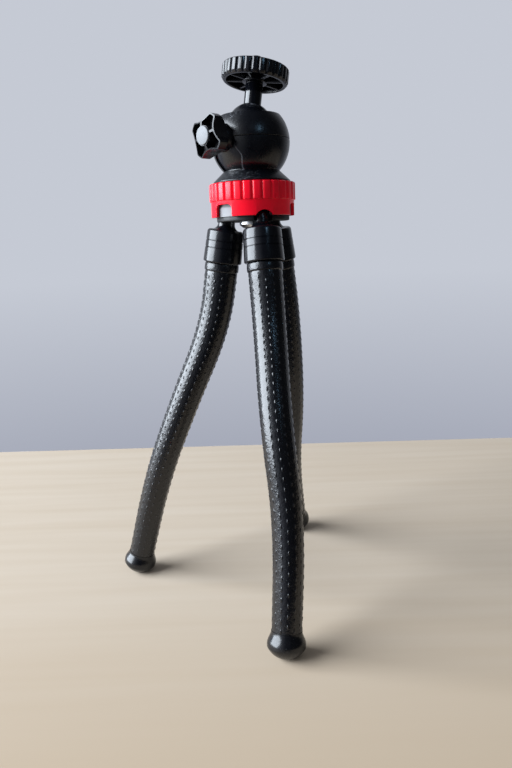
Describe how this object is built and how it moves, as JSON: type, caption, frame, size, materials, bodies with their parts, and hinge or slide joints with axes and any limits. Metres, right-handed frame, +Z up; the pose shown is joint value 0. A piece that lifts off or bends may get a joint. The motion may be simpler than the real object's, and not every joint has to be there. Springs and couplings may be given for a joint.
{
  "type": "flexible leg tripod",
  "caption": "Tabletop tripod with bendable rubber-skinned legs on hinged shoulders, a turning lock ring and a ball head with clamp knob and camera screw.",
  "frame": {"origin": "on the floor, under the middle of the footprint as it stands", "axes": "+Z up, -Y towards the front leg, +X to the right of the front"},
  "size_m": [0.1054, 0.1438, 0.2568],
  "materials": {
    "shell_black": "moulded black plastic, semi-gloss",
    "post_black": "black coated steel, glossy",
    "ball_black": "black ball, satin",
    "leg_rubber": "black rubber skin with a fine moulded pebble",
    "foot_rubber": "smooth black rubber, satin",
    "pad_rubber": "matt black rubber",
    "ring_red": "moulded red plastic, semi-gloss",
    "core_grey": "grey moulded core, satin",
    "spine_grey": "grey moulded links",
    "seat_white": "pale low-friction plastic",
    "steel": "bright zinc",
    "knob_silver": "satin silver disc, bare"
  },
  "bodies": {
    "hub": {"head_collar": "shell_black", "hub_core": "core_grey", "bottom_plate": "shell_black", "centre_screw": "steel", "hinge_pins": "steel", "socket_body": "shell_black", "socket_cap": "shell_black"},
    "ring": {"lock_ring": "ring_red"},
    "seat": {"ball_seat": "seat_white"},
    "ball": {"ball": "ball_black"},
    "post": {"camera_post": "post_black"},
    "disc": {"thumb_disc": "shell_black", "disc_pad": "pad_rubber"},
    "shoe": {"brake_shoe": "seat_white"},
    "knob": {"clamp_knob": "shell_black", "knob_disc": "knob_silver", "knob_screw": "steel"},
    "front_upper": {"front_shoulder": "shell_black", "front_sleeve": "leg_rubber", "front_spine_1": "spine_grey"},
    "front_mid_1": {"front_spine_2": "spine_grey"},
    "front_mid_2": {"front_spine_3": "spine_grey"},
    "front_lower": {"front_spine_4": "spine_grey", "front_foot": "foot_rubber"},
    "left_upper": {"left_shoulder": "shell_black", "left_sleeve": "leg_rubber", "left_spine_1": "spine_grey"},
    "left_mid_1": {"left_spine_2": "spine_grey"},
    "left_mid_2": {"left_spine_3": "spine_grey"},
    "left_lower": {"left_spine_4": "spine_grey", "left_foot": "foot_rubber"},
    "rear_upper": {"rear_shoulder": "shell_black", "rear_sleeve": "leg_rubber", "rear_spine_1": "spine_grey"},
    "rear_mid_1": {"rear_spine_2": "spine_grey"},
    "rear_mid_2": {"rear_spine_3": "spine_grey"},
    "rear_lower": {"rear_spine_4": "spine_grey", "rear_foot": "foot_rubber"}
  },
  "joints": [
    {"name": "ring_turn", "type": "hinge", "parent": "hub", "child": "ring", "pos_m": [0.02455, 0.00302, 0.18766], "axis": [0, 0, 1], "range_deg": [0, 60]},
    {"name": "ball_pan", "type": "hinge", "parent": "hub", "child": "seat", "pos_m": [0.02455, 0.00302, 0.22616], "axis": [0, 0, 1], "continuous": true},
    {"name": "ball_tilt", "type": "hinge", "parent": "seat", "child": "ball", "pos_m": [0.02455, 0.00302, 0.22616], "axis": [-0.5299, 0.848, 0], "range_deg": [-45, 26]},
    {"name": "ball_spin", "type": "hinge", "parent": "ball", "child": "post", "pos_m": [0.02455, 0.00302, 0.22616], "axis": [0.14, 0.0875, 0.9863], "continuous": true},
    {"name": "disc_spin", "type": "hinge", "parent": "post", "child": "disc", "pos_m": [0.02823, 0.00532, 0.2521], "axis": [0.14, 0.0875, 0.9863], "continuous": true},
    {"name": "shoe_slide", "type": "slide", "parent": "hub", "child": "shoe", "axis": [-0.7071, -0.7071, 0], "range_m": [0, 0.0008]},
    {"name": "knob_turn", "type": "hinge", "parent": "shoe", "child": "knob", "pos_m": [0.02455, 0.00302, 0.22036], "axis": [-0.7071, -0.7071, 0], "range_deg": [0, 360]},
    {"name": "front_hinge", "type": "hinge", "parent": "hub", "child": "front_upper", "pos_m": [0.02799, -0.00899, 0.18766], "axis": [-0.9613, -0.2756, 0], "range_deg": [-9, 30]},
    {"name": "front_bend_1", "type": "hinge", "parent": "front_upper", "child": "front_mid_1", "pos_m": [0.03042, -0.01747, 0.135], "axis": [0.965, 0.2562, -0.056], "range_deg": [-20, 60], "deforming": ["front_sleeve"]},
    {"name": "front_bend_2", "type": "hinge", "parent": "front_mid_1", "child": "front_mid_2", "pos_m": [0.03138, -0.03945, 0.09689], "axis": [0.2545, -0.8874, 0.3844], "range_deg": [-48, 32], "deforming": ["front_sleeve"]},
    {"name": "front_bend_3", "type": "hinge", "parent": "front_mid_2", "child": "front_lower", "pos_m": [0.03563, -0.05081, 0.0546], "axis": [0.9636, 0.2622, -0.0523], "range_deg": [-43, 37], "deforming": ["front_sleeve"]},
    {"name": "left_hinge", "type": "hinge", "parent": "hub", "child": "left_upper", "pos_m": [0.01242, 0.00605, 0.18766], "axis": [0.2419, 0.9703, 0], "range_deg": [-9, 30]},
    {"name": "left_bend_1", "type": "hinge", "parent": "left_upper", "child": "left_mid_1", "pos_m": [0.00387, 0.00818, 0.135], "axis": [-0.2355, -0.9716, 0.0213], "range_deg": [-25, 55], "deforming": ["left_sleeve"]},
    {"name": "left_bend_2", "type": "hinge", "parent": "left_mid_1", "child": "left_mid_2", "pos_m": [-0.01455, 0.01077, 0.09512], "axis": [-0.8889, 0.2216, 0.401], "range_deg": [-40, 40], "deforming": ["left_sleeve"]},
    {"name": "left_bend_3", "type": "hinge", "parent": "left_mid_2", "child": "left_lower", "pos_m": [-0.0312, 0.01325, 0.05447], "axis": [-0.2361, -0.9716, 0.0174], "range_deg": [-47, 33], "deforming": ["left_sleeve"]},
    {"name": "rear_hinge", "type": "hinge", "parent": "hub", "child": "rear_upper", "pos_m": [0.03323, 0.01201, 0.18766], "axis": [0.7193, -0.6947, 0], "range_deg": [-9, 30]},
    {"name": "rear_bend_1", "type": "hinge", "parent": "rear_upper", "child": "rear_mid_1", "pos_m": [0.03935, 0.01835, 0.135], "axis": [-0.7224, 0.6907, 0.0332], "range_deg": [-42, 38], "deforming": ["rear_sleeve"]},
    {"name": "rear_bend_2", "type": "hinge", "parent": "rear_mid_1", "child": "rear_mid_2", "pos_m": [0.04126, 0.02457, 0.09148], "axis": [0.6799, 0.7041, 0.205], "range_deg": [-54, 26], "deforming": ["rear_sleeve"]},
    {"name": "rear_bend_3", "type": "hinge", "parent": "rear_mid_2", "child": "rear_lower", "pos_m": [0.0397, 0.0424, 0.05128], "axis": [-0.7545, 0.6052, 0.2539], "range_deg": [-34, 46], "deforming": ["rear_sleeve"]}
  ],
  "couplings": [
    {"joint": "knob_turn", "follows": "shoe_slide", "rad_per_m": 7850}
  ]
}
